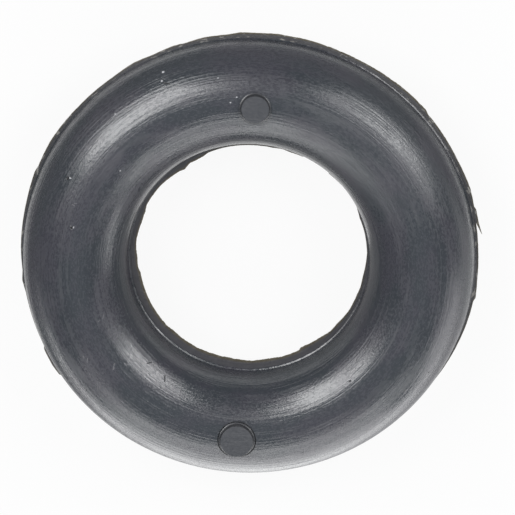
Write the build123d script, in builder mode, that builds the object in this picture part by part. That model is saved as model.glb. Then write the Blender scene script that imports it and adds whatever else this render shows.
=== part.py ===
from build123d import *
import math
import os

# Exhaust hanger ring, moulded in black rubber in a two-part mould and left untrimmed.
# Millimetres. The ring's axis is +Z, its centre is the origin, and the mould's two
# halves meet on the XY plane. Angles run anticlockwise from +X, seen from +Z.

# The ring itself: a round cord of rubber, closed on itself round the eye. A short
# straight land, where the mould's halves meet, makes it a little taller than it is wide.
eye_diameter = 32.0
cord_diameter = 14.0
parting_land = 1.0

# The two round pads on the front face, across the ring from each other. The upper one is
# the smaller. The line through them leans 3 degrees off the ring's upright line, and both
# sit a little below the crest's circle.
upper_pad_diameter = 4.4
lower_pad_diameter = 5.1
upper_pad_angle = 87.6
lower_pad_angle = 266.3
pad_drop = 0.4
pad_rise = 0.5
pad_chamfer = 0.38

# The flash: a thin fin of rubber that squeezed out where the mould's halves meet
flash_thickness = 0.35
flash_width = 1.0

# How far the torn fin stands out of the ring, as (angle, width) from one tear to the next.
# A width of 1 is the whole flash_width, and two points close together are a step where the fin
# has torn off.
outer_flash = [
    (2, 0.48),
    (9.0, 0.50),
    (5.9, 1.12),  # the tip of a whisker that hangs from the tear
    (8.6, 0.86),
    (12.6, 0.84),
    (13.4, 0.66),
    (18.0, 0.83),
    (26, 0.71),
    (39.6, 0.79),
    (41.2, 1.00),
    (50, 0.92),
    (62, 0.76),
    (74, 0.83),
    (83, 0.87),
    (88, 0.78),
    (92, 0.86),
    (95.4, 0.65),
    (101, 0.70),
    (105, 0.54),
    (109, 0.60),
    (114.6, 0.45),
    (119.6, 0.63),
    (126, 0.46),
    (137, 0.48),
    (148.4, 0.62),
    (156, 0.49),
    (157.7, 0.63),
    (161, 0.53),
    (166, 0.41),
    (178, 0.32),
    (184, 0.19),
    (186.4, 0.38),
    (190, 0.16),
    (204.8, 0.20),
    (205.8, 0.62),
    (210.6, 0.70),
    (213.4, 0.60),
    (214.2, 0.14),
    (234, 0.12),
    (254.2, 0.12),
    (255.0, 0.54),
    (256.4, 0.50),
    (257.2, 0.12),
    (278, 0.10),
    (300, 0.10),
    (321, 0.12),
    (330, 0.30),
    (342, 0.47),
    (348.6, 0.50),
    (349.4, 0.70),
    (353.6, 0.54),
]
eye_flash = [
    (2, 0.30),
    (12.6, 0.28),
    (20.4, 0.34),
    (26.6, 0.10),
    (34, 0.10),
    (40, 0.21),
    (47.6, 0.33),
    (48.4, 0.10),
    (60.4, 0.10),
    (62.8, 0.40),
    (68.6, 0.52),
    (73.6, 0.42),
    (76.4, 0.10),
    (92, 0.10),
    (106.6, 0.12),
    (108.6, 0.42),
    (111, 0.60),
    (113.8, 0.92),
    (117.4, 0.98),
    (121, 0.93),
    (125.2, 1.27),
    (128, 1.08),
    (134, 0.92),
    (141, 0.76),
    (152.6, 0.73),
    (155.6, 0.96),
    (161.6, 1.05),
    (171, 0.92),
    (176, 1.00),
    (181, 1.20),
    (186, 1.18),
    (189.4, 1.42),
    (200, 1.38),
    (221.6, 1.37),
    (224.6, 1.50),
    (240, 1.44),
    (258, 1.53),
    (264, 1.50),
    (269, 1.36),
    (280.6, 1.42),
    (288.6, 1.28),
    (297.0, 1.29),
    (298.6, 1.47),
    (303, 1.43),
    (309, 1.26),
    (315.6, 0.97),
    (321, 0.97),
    (330, 0.71),
    (338.6, 0.69),
    (344, 0.58),
    (349.8, 0.61),
]

eye_radius = eye_diameter / 2
ring_radius = eye_radius + cord_diameter / 2
outer_radius = eye_radius + cord_diameter
crest_level = (cord_diameter + parting_land) / 2
pad_face_level = crest_level + pad_rise


def polar(radius, angle):
    return (radius * math.cos(math.radians(angle)), radius * math.sin(math.radians(angle)))


def pad_centre(angle):
    across, up = polar(ring_radius, angle)
    return (across, up - pad_drop)


def torn_edge(radius, side, flash):
    """Draws the fin's edge, with an arc round the ring from each point to the next.

    side is 1 for a fin that stands out from the radius and -1 for one that stands in."""
    whole_width = side * flash_width
    last_angle, last_width = flash[-1]
    start_angle, start_width = last_angle - 360, last_width
    for end_angle, end_width in flash:
        middle_angle = (start_angle + end_angle) / 2
        middle_width = (start_width + end_width) / 2
        ThreePointArc(
            polar(radius + whole_width * start_width, start_angle),
            polar(radius + whole_width * middle_width, middle_angle),
            polar(radius + whole_width * end_width, end_angle),
        )
        start_angle, start_width = end_angle, end_width


with BuildPart() as hanger_ring:
    # The rubber cord, turned once round the axis
    with BuildSketch(Plane.XZ):
        with Locations((ring_radius, 0)):
            SlotCenterToCenter(parting_land, cord_diameter, rotation=90)
    revolve(axis=Axis.Z)

    # The pads stand on the crest, rooted half way down the cord
    with BuildSketch(Plane.XY.offset(pad_face_level)):
        with Locations(pad_centre(upper_pad_angle)):
            Circle(upper_pad_diameter / 2)
        with Locations(pad_centre(lower_pad_angle)):
            Circle(lower_pad_diameter / 2)
    extrude(amount=-cord_diameter / 2)
    pad_rims = hanger_ring.edges().filter_by(GeomType.CIRCLE).group_by(Axis.Z)[-1]
    chamfer(pad_rims, pad_chamfer)

    # One sheet of flash runs through the mould's parting plane and shows on both sides
    with BuildSketch():
        with BuildLine():
            torn_edge(outer_radius, 1, outer_flash)
        make_face()
        with BuildLine():
            torn_edge(eye_radius, -1, eye_flash)
        make_face(mode=Mode.SUBTRACT)
    extrude(amount=flash_thickness / 2, both=True)

hanger_ring.part.label = "hanger_ring"

os.makedirs("parts", exist_ok=True)
export_step(hanger_ring.part, "parts/hanger_ring.step")
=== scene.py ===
import math

import bmesh
import bpy
from bmesh.types import BMEdge, BMFace, BMVert
from mathutils import Matrix, Vector, noise


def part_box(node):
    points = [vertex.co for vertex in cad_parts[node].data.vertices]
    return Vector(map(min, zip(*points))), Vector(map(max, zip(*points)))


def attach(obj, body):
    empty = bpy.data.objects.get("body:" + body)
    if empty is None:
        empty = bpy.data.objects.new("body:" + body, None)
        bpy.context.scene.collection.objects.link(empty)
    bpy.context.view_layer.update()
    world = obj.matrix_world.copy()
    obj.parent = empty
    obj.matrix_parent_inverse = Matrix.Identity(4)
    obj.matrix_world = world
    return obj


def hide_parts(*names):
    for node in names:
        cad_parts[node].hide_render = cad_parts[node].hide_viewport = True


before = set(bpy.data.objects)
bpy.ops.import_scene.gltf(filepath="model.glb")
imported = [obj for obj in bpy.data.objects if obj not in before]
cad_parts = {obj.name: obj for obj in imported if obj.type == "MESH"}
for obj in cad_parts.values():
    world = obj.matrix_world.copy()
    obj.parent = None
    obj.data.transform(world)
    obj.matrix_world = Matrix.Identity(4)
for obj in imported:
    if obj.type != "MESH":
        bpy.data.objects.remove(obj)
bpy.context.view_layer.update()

MM = 0.001

# ---------------------------------------------------------------- sizes

node_low, node_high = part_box("hanger_ring")

eye_radius = 16 * MM
cord_radius = 7 * MM
ring_radius = eye_radius + cord_radius
outer_radius = ring_radius + cord_radius
crest_level = -node_low.z
land_level = crest_level - cord_radius     # the straight land runs from -land_level to land_level
shoulder_level = 0.34 * MM                 # the land's points between its rim and the fin's root
root_level = 0.25 * MM                     # half the fin's thickness where it leaves the cord
fin_level = 0.15 * MM                      # half its thickness past the sloping root
fin_edge_level = 0.05 * MM                 # half its thickness at the torn edge
fin_rows = (0.0, 0.35, 0.7, 1.0)           # rows of its points, as shares of the way to its edge
least_fin = 0.07                           # the narrowest that a tear leaves it, in mm
hair = 0.01 * MM                           # lengths within this of each other count as equal

# Each pad's angle, its radius and how deep the groove round it is
pads = ((87.6, 2.20 * MM, 0.02 * MM), (266.3, 2.55 * MM, 0.12 * MM))
pad_drop = 0.4 * MM                        # how far they sit below the crest's circle
pad_face_level = node_high.z
pad_root_depth = 3 * MM                    # how far below its face a pad is rooted
wall_shade = 0.55                          # how far the painted shade on a pad's wall darkens it
# A pad's wall, as (how far in from its radius, height) in mm: a flared foot, with heights
# above the cord, and then the crisp rim, with heights from the face
pad_foot = ((0.09, -0.05), (0.11, 0.0), (0.17, 0.018), (0.23, 0.042), (0.28, 0.078), (0.31, 0.15))
pad_rim = ((0.38, -0.05), (0.42, 0.0))

turn_steps = 1152                          # the cord's steps round the axis
arc_steps = 24                             # the steps of each half of its section
pad_steps = 96                             # the steps round a pad
crisp_angle = 38                           # edges sharper than this stay crisp, in degrees

# How far the torn fin stands out of the ring, as (angle, width in mm) from one tear to the next
outer_flash = [
    (2, 0.48), (9.0, 0.50), (9.3, 0.85), (12.6, 0.84), (13.4, 0.66), (18.0, 0.83), (26, 0.71),
    (39.6, 0.79), (41.2, 1.00), (50, 0.92), (62, 0.76), (74, 0.83), (83, 0.87), (88, 0.78),
    (92, 0.86), (95.4, 0.65), (101, 0.70), (105, 0.54), (109, 0.60), (114.6, 0.45), (119.6, 0.63),
    (126, 0.46), (137, 0.48), (148.4, 0.62), (156, 0.49), (157.7, 0.63), (161, 0.53), (166, 0.41),
    (178, 0.32), (184, 0.19), (186.4, 0.38), (190, 0.16), (204.8, 0.18), (205.8, 0.40),
    (210.6, 0.50), (213.4, 0.42), (214.2, 0.14), (234, 0.12), (254.2, 0.12), (255.0, 0.54),
    (256.4, 0.50), (257.2, 0.12), (278, 0.10), (300, 0.10), (321, 0.12), (330, 0.30),
    (342, 0.47), (348.6, 0.50), (349.4, 0.70), (353.6, 0.54),
]
eye_flash = [
    (2, 0.30), (12.6, 0.28), (20.4, 0.34), (26.6, 0.10), (34, 0.10), (40, 0.21), (47.6, 0.33),
    (48.4, 0.10), (60.4, 0.10), (62.8, 0.40), (68.6, 0.52), (73.6, 0.46), (78, 0.58),
    (92, 0.56), (103, 0.58), (108.6, 0.64), (111, 0.70), (113.8, 0.92), (117.4, 0.98),
    (121, 0.93), (125.2, 1.27), (128, 1.08), (134, 0.92), (141, 0.76), (152.6, 0.73),
    (155.6, 0.96), (161.6, 1.05), (171, 0.92), (176, 1.00), (181, 1.20), (186, 1.18),
    (189.4, 1.42), (200, 1.38), (221.6, 1.37), (224.6, 1.50), (240, 1.44), (258, 1.53),
    (264, 1.50), (269, 1.36), (280.6, 1.42), (288.6, 1.28), (297.0, 1.29), (298.6, 1.47),
    (303, 1.43), (309, 1.26), (315.6, 0.97), (321, 0.97), (330, 0.71), (338.6, 0.69),
    (344, 0.58), (349.8, 0.61),
]

# How far the fin's sloping root runs out, as (angle, run in mm)
outer_root = [(15, 0.18), (60, 0.15), (90, 0.06), (320, 0.06), (335, 0.20)]
eye_root = [(0, 0.17)]

# The whisker that hangs from the outer tear, as (angle, inner width, outer width in mm)
whisker = [(8.6, 0.57, 0.88), (7.9, 0.70, 0.93), (7.2, 0.82, 0.99), (6.5, 0.95, 1.06), (5.9, 1.10, 1.12)]
whisker_root_angle = 9.15


# ---------------------------------------------------------------- the ring's mesh

def along(angle, stops):
    """The value at an angle, on straight runs from one (angle, value) stop to the next, all round."""
    angle %= 360
    before = (stops[-1][0] - 360, stops[-1][1])
    for after in stops:
        if angle <= after[0]:
            break
        before = after
    else:
        after = (stops[0][0] + 360, stops[0][1])
    share = (angle - before[0]) / (after[0] - before[0])
    return before[1] + share * (after[1] - before[1])


def turn_of(point):
    """The angle round the ring, in degrees anticlockwise from +X."""
    return math.degrees(math.atan2(point.y, point.x)) % 360


def reach_of(point):
    """How far from the ring's axis a point is."""
    return math.hypot(point.x, point.y)


def set_reach(vert, reach):
    share = reach / reach_of(vert.co)
    vert.co.x *= share
    vert.co.y *= share


def ripple(angle, steps, seed):
    """Smooth chance between -1 and 1 that closes on itself round the ring."""
    spot = Vector((math.cos(math.radians(angle)), math.sin(math.radians(angle)), 0)) * steps
    return noise.noise(spot + Vector((0, 0, seed)))


def only(kind, geometry):
    """The points, edges or faces in what an operator drew."""
    return [g for g in geometry if isinstance(g, kind)]


def spin_half_turn(bm, start, centre):
    """Draws half of the cord's round section and returns its two end points."""
    first = bm.verts.new(start)
    drawn = bmesh.ops.spin(
        bm, geom=[first], cent=centre, axis=(0, 1, 0), angle=-math.pi, steps=arc_steps, use_merge=False,
    )
    return first, only(BMVert, drawn["geom_last"])[0]


def cord_surface():
    """The cord, spun once round the axis from its section, with a land between its two halves."""
    bm = bmesh.new()
    upper_outer, upper_inner = spin_half_turn(
        bm, (outer_radius, 0, land_level), (ring_radius, 0, land_level),
    )
    lower_inner, lower_outer = spin_half_turn(
        bm, (eye_radius, 0, -land_level), (ring_radius, 0, -land_level),
    )
    lands = [
        bm.edges.new((upper_inner, lower_inner)),
        bm.edges.new((upper_outer, lower_outer)),
    ]
    cut = bmesh.ops.subdivide_edges(bm, edges=lands, cuts=4)
    for vert in only(BMVert, cut["geom_inner"]):
        level = shoulder_level if abs(vert.co.z) > land_level / 2 else root_level
        vert.co.z = math.copysign(level, vert.co.z)
    bmesh.ops.spin(
        bm, geom=bm.verts[:] + bm.edges[:], cent=(0, 0, 0), axis=(0, 0, 1),
        angle=2 * math.pi, steps=turn_steps, use_merge=True,
    )
    bmesh.ops.remove_doubles(bm, verts=bm.verts, dist=0.001 * MM)
    bmesh.ops.recalc_face_normals(bm, faces=bm.faces)
    return bm


def draw_out(bm, faces):
    """Extrudes faces and takes away the old ones, which would stay inside. Their rims stay crisp."""
    drawn = bmesh.ops.extrude_face_region(bm, geom=faces)
    crisp = bm.edges.layers.int["crisp"]
    for edge in {e for f in faces for e in f.edges}:
        if len(edge.link_faces) > 2:
            edge[crisp] = 1
    bmesh.ops.delete(bm, geom=faces, context="FACES")
    return only(BMFace, drawn["geom"])


def torn_width(angle, widths, seed):
    """The fin's width at an angle, with the ragged edge of a tear."""
    width = along(angle, widths)
    ragged = 0.035 * ripple(angle, 60, seed) + 0.02 * ripple(angle, 170, seed + 5)
    return max(least_fin, width + ragged * min(1, width)) * MM


def root_run(angle, roots, width, seed):
    """How far the fin's sloping root runs out at an angle, at most 0.4 of its width."""
    run = along(angle, roots) * MM * (1 + 0.3 * ripple(angle, 45, seed + 3))
    return min(run, 0.4 * width)


def draw_out_fin(bm, root_radius, side, widths, roots, seed):
    """Extrudes the fin from the band between the two roots, torn to the width at each angle.

    side is 1 for a fin that stands out and -1 for one that stands in. Its upper face stays
    level but for a slight wave, and its lower face rises towards the edge. Returns the faces
    of its edge."""
    def in_band(point):
        return abs(point.z) < root_level + hair and abs(reach_of(point) - root_radius) < hair

    band = [f for f in bm.faces if all(in_band(v.co) for v in f.verts)]
    for row, share in enumerate(fin_rows):
        band = draw_out(bm, band)
        for vert in {v for f in band for v in f.verts}:
            angle = turn_of(vert.co)
            width = torn_width(angle, widths, seed)
            root = root_run(angle, roots, width, seed)
            wave = 0.07 * ripple(angle, 14, seed + 9) + 0.05 * ripple(angle, 45, seed + 11 + row)
            lift = share * min(width, 1 * MM) * wave + share * (fin_level - fin_edge_level)
            half = fin_level + share * (fin_edge_level - fin_level)
            if row == 0:
                half += 0.012 * MM * ripple(angle, 70, seed + 7)
            set_reach(vert, root_radius + side * (root + share * (width - root)))
            vert.co.z = math.copysign(half, vert.co.z) + lift
    return band


def draw_out_whisker(bm, band):
    """The whisker is drawn from the wall of the outer tear, and thins to a point."""
    face = min(band, key=lambda f: abs(turn_of(f.calc_center_median()) - whisker_root_angle))
    for angle, inner, outer in whisker:
        face = draw_out(bm, [face])[0]
        middle = face.calc_center_median()
        half = 0.045 * MM * (0.3 + outer - inner)      # half its thickness, less towards the tip
        along_x = math.cos(math.radians(angle))
        along_y = math.sin(math.radians(angle))
        verts = sorted(face.verts, key=lambda v: reach_of(v.co))
        for vert, width in zip(verts, (inner, inner, outer, outer)):
            reach = outer_radius + width * MM
            up = 1 if vert.co.z > middle.z else -1
            vert.co = Vector((reach * along_x, reach * along_y, up * half))


def pad_place(angle, level):
    """Where a pad stands: turned to its angle, on the crest's circle, and dropped a little."""
    turned = Matrix.Rotation(math.radians(angle), 4, "Z")
    return Matrix.Translation((0, -pad_drop, level)) @ turned @ Matrix.Translation((ring_radius, 0, 0))


def cord_level(point):
    """The height of the cord's upper face over a point."""
    across = reach_of(point) - ring_radius
    return land_level + math.sqrt(cord_radius ** 2 - across ** 2)


def pad_solid(angle, radius):
    """A low round pad, rooted in the cord, drawn up ring by ring from its root to its face."""
    bm = bmesh.new()
    root_radius = radius - pad_foot[0][0] * MM
    bmesh.ops.create_circle(bm, cap_ends=False, segments=pad_steps, radius=root_radius)
    edges = bm.edges[:]
    rings = []
    for inset, _ in pad_foot + pad_rim:
        drawn = bmesh.ops.extrude_edge_only(bm, edges=edges)["geom"]
        ring = only(BMVert, drawn)
        edges = [e for e in only(BMEdge, drawn) if all(v in ring for v in e.verts)]
        share = (radius - inset * MM) / ring[0].co.length
        bmesh.ops.scale(bm, verts=ring, vec=(share, share, 1))
        rings.append(ring)
    bmesh.ops.transform(bm, matrix=pad_place(angle, pad_face_level - pad_root_depth), verts=bm.verts)
    for ring, (_, height) in zip(rings, pad_foot):
        for vert in ring:
            vert.co.z = cord_level(vert.co) + height * MM
    for ring, (_, height) in zip(rings[len(pad_foot):], pad_rim):
        for vert in ring:
            vert.co.z = pad_face_level + height * MM
    bmesh.ops.holes_fill(bm, edges=bm.edges, sides=0)
    bmesh.ops.recalc_face_normals(bm, faces=bm.faces)
    return bm


def groove_cutter(angle, radius, depth):
    """A thick washer whose floor follows the cord, to sink a groove round the pad."""
    inner = radius - 0.5 * MM
    outer = radius + 0.03 * MM
    lid_level = pad_face_level + 1 * MM
    bm = bmesh.new()
    bmesh.ops.create_circle(bm, cap_ends=False, segments=pad_steps, radius=inner)
    rim = bmesh.ops.extrude_edge_only(bm, edges=bm.edges[:])
    bmesh.ops.scale(bm, verts=only(BMVert, rim["geom"]), vec=(outer / inner, outer / inner, 1))
    bmesh.ops.transform(bm, matrix=pad_place(angle, 0), verts=bm.verts)
    for vert in bm.verts:
        vert.co.z = cord_level(vert.co) - depth
    lid = bmesh.ops.extrude_face_region(bm, geom=bm.faces[:], use_keep_orig=True)
    for vert in only(BMVert, lid["geom"]):
        vert.co.z = lid_level
    bmesh.ops.recalc_face_normals(bm, faces=bm.faces)
    return bm


def as_object(name, bm):
    mesh = bpy.data.meshes.new(name)
    bm.to_mesh(mesh)
    bm.free()
    return place_in_scene(name, mesh)


def place_in_scene(name, data):
    """Puts a mesh, a lamp or a camera in the scene and returns its object."""
    made = bpy.data.objects.new(name, data)
    bpy.context.scene.collection.objects.link(made)
    return made


def carve(target, tool, operation):
    """Joins the tool to the target, or cuts it out of it, and applies the result."""
    modifier = target.modifiers.new("carve", "BOOLEAN")
    modifier.operation = operation
    modifier.solver = "MANIFOLD"
    modifier.object = tool
    bpy.context.view_layer.objects.active = target
    bpy.ops.object.modifier_apply(modifier=modifier.name)
    bpy.data.objects.remove(tool)


def within_one(value):
    return min(1.0, max(0.0, value))


def fin_width(point, widths):
    """The fin's width at a point's angle, taken as 0.09 mm where it is narrower."""
    return max(0.09, along(turn_of(point), widths)) * MM


def fin_share(point):
    """How far out on a fin a point is: 0 on the cord and 1 at the torn edge."""
    clear = 0.02 * MM
    reach = reach_of(point)
    if abs(point.z) < land_level and reach > outer_radius + clear:
        return within_one((reach - outer_radius) / fin_width(point, outer_flash))
    if abs(point.z) < land_level and reach < eye_radius - clear:
        return within_one((eye_radius - reach) / fin_width(point, eye_flash))
    return 0.0


def note_shares(mesh):
    """Keeps shares on the points: how far out on a fin, how much painted shade darkens a pad's wall or its
    groove, how far up a pad.
    """
    fin = mesh.attributes.new("fin_share", "FLOAT", "POINT")
    crease_shade = mesh.attributes.new("crease_shade", "FLOAT", "POINT")
    on_pad = mesh.attributes.new("on_pad", "FLOAT", "POINT")
    full_step = 0.1 * MM
    places = [(pad_place(angle, 0).translation.xy, radius + 0.1 * MM) for angle, radius, _ in pads]
    for vert in mesh.vertices:
        fin.data[vert.index].value = fin_share(vert.co)
        if vert.co.z > 0 and any((vert.co.xy - centre).length < reach for centre, reach in places):
            rise = vert.co.z - cord_level(vert.co)
            on_wall = hair < rise and vert.co.z < pad_face_level - hair
            # painted shade: a fixed share on a pad's wall, and more the deeper a point sinks into its
            # groove
            crease_shade.data[vert.index].value = wall_shade if on_wall else within_one(-rise / full_step)
            on_pad.data[vert.index].value = within_one(rise / full_step)


def make_ring():
    bm = cord_surface()
    bm.edges.layers.int.new("crisp")
    outer_edge = draw_out_fin(bm, outer_radius, 1, outer_flash, outer_root, 1.0)
    draw_out_fin(bm, eye_radius, -1, eye_flash, eye_root, 21.0)
    draw_out_whisker(bm, outer_edge)
    ring = as_object("rubber_ring", bm)
    for angle, radius, depth in pads:
        carve(ring, as_object("groove", groove_cutter(angle, radius, depth)), "DIFFERENCE")
        carve(ring, as_object("pad", pad_solid(angle, radius)), "UNION")
    note_shares(ring.data)
    ring.data.shade_smooth()
    ring.data.set_sharp_from_angle(angle=math.radians(crisp_angle))
    crisp = ring.data.attributes["crisp"]
    for edge in ring.data.edges:
        if crisp.data[edge.index].value:
            edge.use_edge_sharp = True
    ring.data.attributes.remove(crisp)
    ring.data.materials.clear()                # the joins leave an empty slot
    return ring


# ---------------------------------------------------------------- nodes

def feed(tree, socket, value):
    """Links another node's output to a socket, or sets the socket to a plain value."""
    if isinstance(value, bpy.types.NodeSocket):
        tree.links.new(value, socket)
    elif value is not None:
        socket.default_value = value


def math_node(tree, operation, first, second=None, third=None):
    node = tree.nodes.new("ShaderNodeMath")
    node.operation = operation
    for socket, value in zip(node.inputs, (first, second, third)):
        feed(tree, socket, value)
    return node.outputs[0]


def vector_node(tree, operation, first, second=None):
    node = tree.nodes.new("ShaderNodeVectorMath")
    node.operation = operation
    feed(tree, node.inputs[0], first)
    feed(tree, node.inputs["Scale" if operation == "SCALE" else 1], second)
    return node.outputs["Value" if operation in ("LENGTH", "DOT_PRODUCT", "DISTANCE") else "Vector"]


def remap(tree, value, low, high):
    """Rises softly from 0 to 1 as the value goes from low to high."""
    node = tree.nodes.new("ShaderNodeMapRange")
    node.interpolation_type = "SMOOTHSTEP"
    feed(tree, node.inputs["Value"], value)
    feed(tree, node.inputs["From Min"], low)
    feed(tree, node.inputs["From Max"], high)
    return node.outputs["Result"]


def split_node(tree, vector):
    node = tree.nodes.new("ShaderNodeSeparateXYZ")
    feed(tree, node.inputs[0], vector)
    return node.outputs


def join_node(tree, *values):
    node = tree.nodes.new("ShaderNodeCombineXYZ")
    for socket, value in zip(node.inputs, values):
        feed(tree, socket, value)
    return node.outputs[0]


def noise_node(tree, vector, detail, roughness=0.5):
    node = tree.nodes.new("ShaderNodeTexNoise")
    feed(tree, node.inputs["Vector"], vector)
    node.inputs["Scale"].default_value = 1.0
    node.inputs["Detail"].default_value = detail
    node.inputs["Roughness"].default_value = roughness
    return node.outputs["Fac"]


def swing_of(tree, value):
    """Turns a noise of 0 to 1 into one that swings from -1 to 1."""
    return math_node(tree, "MULTIPLY", math_node(tree, "SUBTRACT", value, 0.5), 2.0)


def mix_colour(tree, share, first, second):
    node = tree.nodes.new("ShaderNodeMix")
    node.data_type = "RGBA"
    share_in = [s for s in node.inputs if s.name == "Factor" and s.type == "VALUE"][0]
    first_in, second_in = [s for s in node.inputs if s.type == "RGBA"]
    feed(tree, share_in, share)
    feed(tree, first_in, first)
    feed(tree, second_in, second)
    return [s for s in node.outputs if s.type == "RGBA"][0]


def attribute_node(tree, name):
    node = tree.nodes.new("ShaderNodeAttribute")
    node.attribute_name = name
    return node.outputs["Fac"]


def add_up(tree, total, parts):
    """Adds each (value, how much of it) to the total."""
    for value, share in parts:
        total = math_node(tree, "MULTIPLY_ADD", value, share, total)
    return total


def new_group(name, inputs, outputs):
    """An empty node group with its named sockets; returns the tree, what goes in and what comes out."""
    tree = bpy.data.node_groups.new(name, "ShaderNodeTree")
    for title, kind in inputs:
        tree.interface.new_socket(name=title, in_out="INPUT", socket_type="NodeSocket" + kind)
    for title in outputs:
        tree.interface.new_socket(name=title, in_out="OUTPUT", socket_type="NodeSocketFloat")
    return tree, tree.nodes.new("NodeGroupInput").outputs, tree.nodes.new("NodeGroupOutput").inputs


def place_group(tree, group, **values):
    """Puts a group in a material; an input's name is given with _ for its spaces."""
    node = tree.nodes.new("ShaderNodeGroup")
    node.node_tree = group
    for name, value in values.items():
        feed(tree, node.inputs[name.replace("_", " ").capitalize()], value)
    return node.outputs


# ---------------------------------------------------------------- the rubber

# Marks on the moulded face: (turn, section angle, lean from the turning direction, length, width).
# Angles are in degrees and sizes in mm; the section angle runs from the crest, positive outwards.
# Light specks of dust, and two painted glints beside the pits, at 151.4 and 164.8 degrees
specks_and_glints = [
    (112.7, 56.5, 0, 0.05, 0.44), (113.7, 46, 20, 0.12, 0.30), (129.2, 40, 0, 0.05, 0.30),
    (98.4, 32, 0, 0.05, 0.22), (95.5, 4, 0, 0.05, 0.24), (93.4, 9.5, 0, 0.05, 0.22),
    (140, -10, 0, 0.05, 0.22), (151.4, 30.2, 70, 0.16, 0.26), (164.8, 5.8, 0, 0.16, 0.18),
]
scratches = [
    (198.4, -24, 35, 0.6, 0.13), (199.2, -18, 60, 0.3, 0.12), (216.2, -8.5, 50, 0.7, 0.16),
    (217.0, -6.0, 80, 0.4, 0.14), (219, -21, -35, 1.0, 0.12), (210, 12.7, 40, 0.6, 0.15),
    (208.6, 14.5, 20, 0.3, 0.13), (158.0, 14.2, 80, 0.3, 0.16), (157.2, 12.4, 70, 0.3, 0.16),
]
dark_marks = [
    (234, -37, 62, 0.75, 0.20), (225, -40, -55, 0.7, 0.14), (218.1, 38.5, 0, 0.05, 0.32),
    (321.5, 31, 0, 0.05, 0.28), (286.2, 27.5, 0, 0.05, 0.26), (311.9, -23, 0, 0.08, 0.30),
    (329.3, 44.5, 0, 0.05, 0.26), (336.4, 61, 0, 0.05, 0.26), (112.6, 41, 35, 0.9, 0.22),
]
# Pits: shallow dents, darkened in their hollows with painted shade
pits = [(151.9, 33.0, 0, 0.12, 0.56), (165.1, 8.2, 0, 0.10, 0.48)]

rubber_black = (0.036, 0.042, 0.049, 1)
film_black = (0.044, 0.044, 0.055, 1)
mottle_grey = (0.060, 0.064, 0.076, 1)
pad_grey = (0.054, 0.056, 0.063, 1)
inner_fin_grey = (0.052, 0.051, 0.057, 1)
outer_fin_grey = (0.072, 0.071, 0.074, 1)
torn_olive = (0.085, 0.070, 0.040, 1)
# painted glints on the outer fin
fin_glint_grey = (0.28, 0.27, 0.25, 1)
scratch_grey = (0.17, 0.17, 0.18, 1)
# light specks, and painted glints beside the pits
speck_and_glint_grey = (0.50, 0.50, 0.52, 1)
# dark marks painted darker, and painted shade in the pits
dark_mark_and_pit_shade = (0.010, 0.010, 0.012, 1)
# painted shade in the grooves round the pads and on their walls
crease_shade_black = (0.006, 0.006, 0.008, 1)

bare_roughness = 0.16                      # as the rubber leaves the mould
eye_gloss = 0.5                            # how far the eye's wall is glossier than the rest


def cord_space(tree, position, across, run):
    """The space of the cord's surface: x runs over its section, y and z run round the ring.

    One step of it is across long over the section and run long round the ring."""
    x, y, z = split_node(tree, position)
    flat = join_node(tree, x, y)
    reach = vector_node(tree, "LENGTH", flat)
    level = math_node(tree, "SUBTRACT", math_node(tree, "ABSOLUTE", z), land_level)
    level = math_node(tree, "MAXIMUM", level, 0.0)
    section = math_node(tree, "ARCTAN2", math_node(tree, "SUBTRACT", reach, ring_radius), level)
    kept = math_node(tree, "MINIMUM", math_node(tree, "MAXIMUM", reach, eye_radius), outer_radius)
    beyond = math_node(tree, "SUBTRACT", reach, kept)
    offset = math_node(tree, "MULTIPLY_ADD", section, cord_radius, beyond)
    around = vector_node(tree, "SCALE", vector_node(tree, "NORMALIZE", flat), ring_radius)
    around = vector_node(tree, "SCALE", around, math_node(tree, "DIVIDE", 1.0, run))
    turned = split_node(tree, around)
    return join_node(tree, math_node(tree, "DIVIDE", offset, across), turned[0], turned[1])


def turning_marks_group():
    """Soft rings left by the lathe that cut the mould."""
    tree, given, out = new_group(
        "turning_marks", [("Position", "Vector"), ("Spacing", "Float"), ("Run", "Float")], ["Height"],
    )
    space = cord_space(tree, given["Position"], given["Spacing"], given["Run"])
    feed(tree, out["Height"], swing_of(tree, noise_node(tree, space, 2.0, 0.6)))
    return tree


def scored_lines_group():
    """Thin lines scored round the ring, that come in sheaves and fade out along their run."""
    inputs = [
        ("Position", "Vector"), ("Spacing", "Float"), ("Run", "Float"), ("Width", "Float"),
        ("Sheaf", "Float"),
    ]
    sheaf_length = 3.0                     # for each 1 of its width
    tree, given, out = new_group("scored_lines", inputs, ["Mask"])
    space = cord_space(tree, given["Position"], given["Spacing"], given["Run"])
    moved = vector_node(tree, "ADD", space, (9.1, 3.3, 5.7))     # clear of the turning marks' pattern
    away = math_node(tree, "ABSOLUTE", math_node(tree, "SUBTRACT", noise_node(tree, moved, 0.0), 0.5))
    line = remap(tree, away, given["Width"], 0.0)
    run = math_node(tree, "MULTIPLY", given["Sheaf"], sheaf_length)
    sheaf = noise_node(tree, cord_space(tree, given["Position"], given["Sheaf"], run), 1.0)
    feed(tree, out["Mask"], math_node(tree, "MULTIPLY", line, remap(tree, sheaf, 0.40, 0.60)))
    return tree


def grain_group():
    """Fine grain of the rubber, drawn out a little round the ring."""
    inputs = [("Position", "Vector"), ("Size", "Float"), ("Stretch", "Float")]
    tree, given, out = new_group("rubber_grain", inputs, ["Height", "Mottle", "Grain"])
    run = math_node(tree, "MULTIPLY", given["Size"], given["Stretch"])
    grain = noise_node(tree, cord_space(tree, given["Position"], given["Size"], run), 2.0, 0.6)
    feed(tree, out["Height"], swing_of(tree, grain))
    feed(tree, out["Mottle"], remap(tree, grain, 0.35, 0.68))
    feed(tree, out["Grain"], grain)
    return tree


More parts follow.
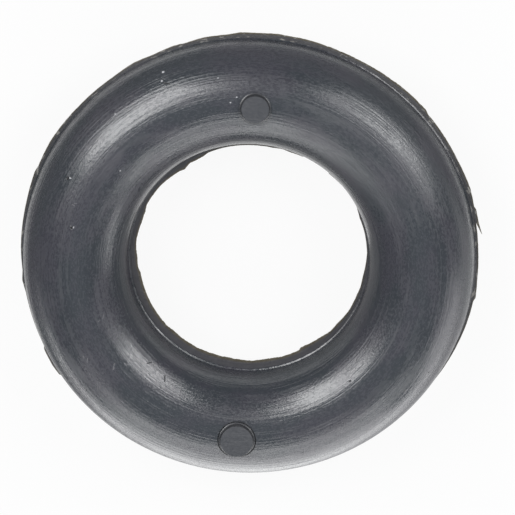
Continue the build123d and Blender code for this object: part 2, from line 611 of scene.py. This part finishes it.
def film_group():
    """Wide, soft patches, where the face is a little greyer and duller."""
    patch_length = 2.5                     # for each 1 of its width
    tree, given, out = new_group("release_film", [("Position", "Vector"), ("Size", "Float")], ["Mask"])
    run = math_node(tree, "MULTIPLY", given["Size"], patch_length)
    space = cord_space(tree, given["Position"], given["Size"], run)
    feed(tree, out["Mask"], remap(tree, noise_node(tree, space, 3.0, 0.55), 0.38, 0.64))
    return tree


def mark_group():
    """A speck, nick, scratch or painted glint: everything within the radius of a short line, and its raised
    rim.
    """
    full_share = 0.35                      # the mark is full up to this share of the radius
    rim_share = 0.8                        # the rim is highest here
    rim_spread = 0.3
    inputs = [
        ("Position", "Vector"), ("Centre", "Vector"), ("Direction", "Vector"),
        ("Half length", "Float"), ("Radius", "Float"),
    ]
    tree, given, out = new_group("surface_mark", inputs, ["Mask", "Rim"])
    away = vector_node(tree, "SUBTRACT", given["Position"], given["Centre"])
    run = vector_node(tree, "DOT_PRODUCT", away, given["Direction"])
    run = math_node(tree, "MINIMUM", run, given["Half length"])
    run = math_node(tree, "MAXIMUM", run, math_node(tree, "MULTIPLY", given["Half length"], -1.0))
    nearest = vector_node(tree, "SCALE", given["Direction"], run)
    gap = math_node(tree, "DIVIDE", vector_node(tree, "DISTANCE", away, nearest), given["Radius"])
    feed(tree, out["Mask"], remap(tree, gap, 1.0, full_share))
    from_rim = math_node(tree, "ABSOLUTE", math_node(tree, "SUBTRACT", gap, rim_share))
    feed(tree, out["Rim"], remap(tree, from_rim, rim_spread, 0.0))
    return tree


def on_cord(turn, section):
    """A point of the cord's upper face and its two directions there, round the ring and over the cord."""
    turn = math.radians(turn)
    section = math.radians(section)
    outward = Vector((math.cos(turn), math.sin(turn), 0))
    point = outward * (ring_radius + cord_radius * math.sin(section))
    point.z = land_level + cord_radius * math.cos(section)
    over = outward * math.cos(section)
    over.z = -math.sin(section)
    return point, Vector((-math.sin(turn), math.cos(turn), 0)), over


def marks_mask(tree, group, position, marks, output="Mask"):
    """One mask for a whole list of marks."""
    joined = None
    for turn, section, lean, length, width in marks:
        centre, around, over = on_cord(turn, section)
        lean = math.radians(lean)
        mask = place_group(
            tree, group, position=position, centre=centre,
            direction=around * math.cos(lean) + over * math.sin(lean),
            half_length=length / 2 * MM, radius=width / 2 * MM,
        )[output]
        joined = mask if joined is None else math_node(tree, "MAXIMUM", joined, mask)
    return joined


def make_rubber():
    material = bpy.data.materials.new("moulded_rubber")
    material.use_nodes = True
    tree = material.node_tree
    tree.nodes.clear()
    output = tree.nodes.new("ShaderNodeOutputMaterial")
    shader = tree.nodes.new("ShaderNodeBsdfPrincipled")
    feed(tree, output.inputs["Surface"], shader.outputs["BSDF"])
    shader.inputs["Specular IOR Level"].default_value = 1.0
    position = tree.nodes.new("ShaderNodeTexCoord").outputs["Object"]
    from_centre = vector_node(tree, "LENGTH", position)

    marks = mark_group()
    light = marks_mask(tree, marks, position, specks_and_glints)
    scratch = marks_mask(tree, marks, position, scratches)
    dark = marks_mask(tree, marks, position, dark_marks)
    pit = marks_mask(tree, marks, position, pits)
    pit_rim = marks_mask(tree, marks, position, pits, "Rim")

    turning = turning_marks_group()
    fine = place_group(tree, turning, position=position, spacing=0.32 * MM, run=36 * MM)["Height"]
    broad = place_group(tree, turning, position=position, spacing=2.2 * MM, run=40 * MM)["Height"]
    scored = place_group(
        tree, scored_lines_group(), position=position,
        spacing=0.48 * MM, run=70 * MM, width=0.10, sheaf=1.8 * MM,
    )["Mask"]
    grains = grain_group()
    grain = place_group(tree, grains, position=position, size=0.20 * MM, stretch=2.2)
    # noise that places the painted glints on the outer fin
    fin_glint_noise = place_group(tree, grains, position=position, size=0.42 * MM, stretch=2.6)["Grain"]
    film = place_group(tree, film_group(), position=position, size=3.5 * MM)["Mask"]

    # A duller patch, where the face has been wiped
    from_patch = vector_node(tree, "DISTANCE", position, on_cord(45, 12)[0])
    wiped = remap(tree, from_patch, 15 * MM, 6 * MM)

    share = attribute_node(tree, "fin_share")
    crease_shade = attribute_node(tree, "crease_shade")
    on_pad = attribute_node(tree, "on_pad")
    torn = remap(tree, share, 0.65, 0.95)
    fin = remap(tree, share, 0.05, 0.30)
    inner_fin = math_node(tree, "MULTIPLY", fin, math_node(tree, "LESS_THAN", from_centre, ring_radius))
    outer_fin = math_node(tree, "SUBTRACT", fin, inner_fin)

    coats = (
        (film, film_black),
        (math_node(tree, "MULTIPLY", grain["Mottle"], 0.35), mottle_grey),
        (inner_fin, inner_fin_grey),
        (math_node(tree, "MULTIPLY", on_pad, 0.7), pad_grey),
        (outer_fin, outer_fin_grey),
        (torn, torn_olive),
        # painted glints on the outer fin
        (math_node(tree, "MULTIPLY", remap(tree, fin_glint_noise, 0.60, 0.66), outer_fin), fin_glint_grey),
        (scratch, scratch_grey),
        # light specks, and painted glints beside the pits
        (light, speck_and_glint_grey),
        # dark marks painted darker, and painted shade in the pits
        (math_node(tree, "MAXIMUM", dark, pit), dark_mark_and_pit_shade),
        # painted shade in the groove round each pad and on its wall
        (crease_shade, crease_shade_black),
    )
    colour = rubber_black
    for coat_share, coat_colour in coats:
        colour = mix_colour(tree, coat_share, colour, coat_colour)
    feed(tree, shader.inputs["Base Color"], colour)

    # Worn parts are duller, the eye's wall is glossier, and each mark has at least its own roughness
    duller = ((film, 0.07), (grain["Mottle"], 0.16), (scored, 0.20), (wiped, 0.13), (on_pad, 0.18))
    rough = add_up(tree, bare_roughness, duller)
    eye_wall = math_node(
        tree, "MULTIPLY",
        remap(tree, from_centre, 19.0 * MM, 17.5 * MM),
        remap(tree, from_centre, 16.1 * MM, 16.4 * MM),
    )
    kept = math_node(tree, "MULTIPLY_ADD", eye_wall, -eye_gloss, 1.0)
    rough = math_node(tree, "MULTIPLY", rough, kept)
    marked_spots = math_node(tree, "MAXIMUM", light, dark)
    for mask, least in ((inner_fin, 0.42), (torn, 0.55), (marked_spots, 0.6), (crease_shade, 0.9)):
        rough = math_node(tree, "MAXIMUM", rough, math_node(tree, "MULTIPLY", mask, least))
    feed(tree, shader.inputs["Roughness"], rough)

    # Heights in millimetres; the lathe's marks don't cross the pads
    height = add_up(tree, 0.0, ((fine, 0.018), (broad, 0.030), (scored, -0.012)))
    height = math_node(tree, "MULTIPLY", height, math_node(tree, "SUBTRACT", 1.0, on_pad))
    small = ((grain["Height"], 0.013), (light, 0.02), (dark, -0.06), (pit, -0.08), (pit_rim, 0.03))
    height = add_up(tree, height, small)
    bump = tree.nodes.new("ShaderNodeBump")
    bump.inputs["Strength"].default_value = 1.0
    bump.inputs["Distance"].default_value = MM
    feed(tree, bump.inputs["Height"], height)
    feed(tree, shader.inputs["Normal"], bump.outputs["Normal"])
    return material


# ---------------------------------------------------------------- studio

floor_reach = 3                            # half the floor's width, in metres
floor_grey = (0.72, 0.72, 0.72, 1)
floor_glow = 0.92                          # the share of its own light where it is seen or mirrored
front_level = 0.72                         # how pale the rubber mirrors the floor in front of the ring,
near_eye_level = 0.30                      # in the near half of the eye
dark_level = 0.10                          # and everywhere else
room_grey = (0.080, 0.085, 0.095, 1)
overhead_grey = (0.27, 0.29, 0.315, 1)
white = (1, 1, 1, 1)
mirrored_horizon = 0.2                     # how much of the white horizon the rubber mirrors
lamp_distance = 0.5
camera_distance = 0.70


def kinds_of_ray(tree):
    """Which rays see the background as it is, and which see it in the rubber."""
    path = tree.nodes.new("ShaderNodeLightPath")
    seen = math_node(tree, "MAXIMUM", path.outputs["Is Camera Ray"], path.outputs["Is Transmission Ray"])
    return seen, path.outputs["Is Glossy Ray"]


def mirrored_level(tree):
    """How pale the floor is from place to place, as the rubber mirrors it.

    It is pale in front of the ring, close round it and in the far half of the eye, and dark elsewhere."""
    position = tree.nodes.new("ShaderNodeTexCoord").outputs["Object"]
    reach = vector_node(tree, "DISTANCE", position, (0, 0, node_low.z))
    toward_back = vector_node(tree, "DOT_PRODUCT", position, (-0.5, 1, 0))
    front = math_node(tree, "MULTIPLY", remap(tree, toward_back, -12 * MM, -30 * MM), front_level)
    round_ring = math_node(tree, "MAXIMUM", front, remap(tree, reach, 42 * MM, 37 * MM))

    up_the_eye = vector_node(tree, "DOT_PRODUCT", position, (0, 1, 0))
    from_near_end = vector_node(tree, "DISTANCE", position, (0, -9 * MM, node_low.z))
    far_half = math_node(
        tree, "MULTIPLY",
        remap(tree, up_the_eye, -3 * MM, -0.5 * MM), remap(tree, from_near_end, 9 * MM, 11 * MM),
    )
    level = tree.nodes.new("ShaderNodeMix")
    feed(tree, level.inputs["Factor"], math_node(tree, "GREATER_THAN", reach, 20 * MM))
    feed(tree, level.inputs["A"], math_node(tree, "MAXIMUM", far_half, near_eye_level))
    feed(tree, level.inputs["B"], round_ring)
    return math_node(tree, "MAXIMUM", level.outputs["Result"], dark_level)


def make_floor():
    """White with the ring's faint shadow where it is seen, and paler or darker where it is mirrored."""
    bm = bmesh.new()
    bmesh.ops.create_grid(bm, x_segments=1, y_segments=1, size=floor_reach)
    bmesh.ops.translate(bm, verts=bm.verts, vec=(0, 0, node_low.z))
    floor = as_object("floor", bm)
    material = bpy.data.materials.new("pale_floor")
    material.use_nodes = True
    tree = material.node_tree
    tree.nodes.clear()
    output = tree.nodes.new("ShaderNodeOutputMaterial")
    lit = tree.nodes.new("ShaderNodeBsdfDiffuse")
    lit.inputs["Color"].default_value = floor_grey
    seen, mirrored = kinds_of_ray(tree)
    glow = tree.nodes.new("ShaderNodeEmission")
    feed(tree, glow.inputs["Color"], math_node(tree, "MAXIMUM", seen, mirrored_level(tree)))
    glow.inputs["Strength"].default_value = 1
    mix = tree.nodes.new("ShaderNodeMixShader")
    share = math_node(tree, "MULTIPLY", math_node(tree, "MAXIMUM", seen, mirrored), floor_glow)
    feed(tree, mix.inputs["Fac"], share)
    feed(tree, mix.inputs[1], lit.outputs["BSDF"])
    feed(tree, mix.inputs[2], glow.outputs["Emission"])
    feed(tree, output.inputs["Surface"], mix.outputs["Shader"])
    floor.data.materials.append(material)


def make_world():
    """White at the horizon, where a low view sees it, and dim above, with a soft glow overhead."""
    world = bpy.data.worlds.new("room")
    bpy.context.scene.world = world
    world.use_nodes = True
    tree = world.node_tree
    up = split_node(tree, tree.nodes.new("ShaderNodeTexCoord").outputs["Generated"])[2]
    overhead = remap(tree, up, 0.80, 0.96)
    colour = mix_colour(tree, overhead, room_grey, overhead_grey)
    seen, mirrored = kinds_of_ray(tree)
    shown = math_node(tree, "MAXIMUM", seen, math_node(tree, "MULTIPLY", mirrored, mirrored_horizon))
    horizon = math_node(tree, "MULTIPLY", remap(tree, up, 0.10, 0.055), shown)
    colour = mix_colour(tree, horizon, colour, white)
    feed(tree, tree.nodes["Background"].inputs["Color"], colour)


def flat_lamp(name, width, height, power):
    lamp = bpy.data.lights.new(name, "AREA")
    lamp.shape = "RECTANGLE"
    lamp.size = width
    lamp.size_y = height
    lamp.energy = power
    return place_in_scene(name, lamp)


def make_lamp(name, direction, width, height, power):
    """A flat soft lamp, turned to face the ring."""
    holder = flat_lamp(name, width, height, power)
    toward = Vector(direction).normalized()
    holder.location = toward * lamp_distance
    holder.rotation_euler = toward.to_track_quat("Z", "Y").to_euler()


def make_card(name, centre, width, depth, power):
    """A lit card that lies face up on the floor."""
    holder = flat_lamp(name, width, depth, power)
    holder.location = (centre[0], centre[1], node_low.z + 0.2 * MM)
    holder.rotation_euler = (math.pi, 0, 0)
    holder.visible_camera = False


def make_camera():
    """Looks down on the ring, leaning back towards +Y and a little towards +X."""
    lean_back = math.radians(17.85)
    lean_side = math.radians(1.0)
    away = Vector((math.sin(lean_side), math.sin(lean_back), 0))
    away.z = math.sqrt(1 - away.length_squared)
    right = Vector((0, 1, 0)).cross(away).normalized()
    up = away.cross(right)
    camera = bpy.data.cameras.new("camera")
    camera.sensor_width = 36
    camera.lens = 368.2
    camera.shift_x = 0.0168
    camera.shift_y = -0.0027
    holder = place_in_scene("camera", camera)
    turned = Matrix((right, up, away)).transposed().to_4x4()
    holder.matrix_world = Matrix.Translation(away * camera_distance) @ turned
    bpy.context.scene.camera = holder


make_camera()
make_world()
make_floor()
make_lamp("left_softbox", (-0.515, 0.447, 0.731), 0.32, 0.32, 1.90)
make_lamp("right_softbox", (0.64, 0.40, 0.65), 0.26, 0.26, 1.34)
make_lamp("low_front_strip", (0, -0.99, 0.16), 0.60, 0.15, 0.80)
make_lamp("front_panel", (0, -0.81, 0.58), 0.60, 0.20, 0.95)
make_lamp("side_card", (0.80, -0.55, 0.20), 0.25, 0.20, 0.32)
make_card("front_card", (0, -0.19), 0.30, 0.30, 0.65)
bpy.context.scene.view_settings.view_transform = "Standard"

ring = make_ring()
ring.data.materials.append(make_rubber())
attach(ring, "root")
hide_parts("hanger_ring")
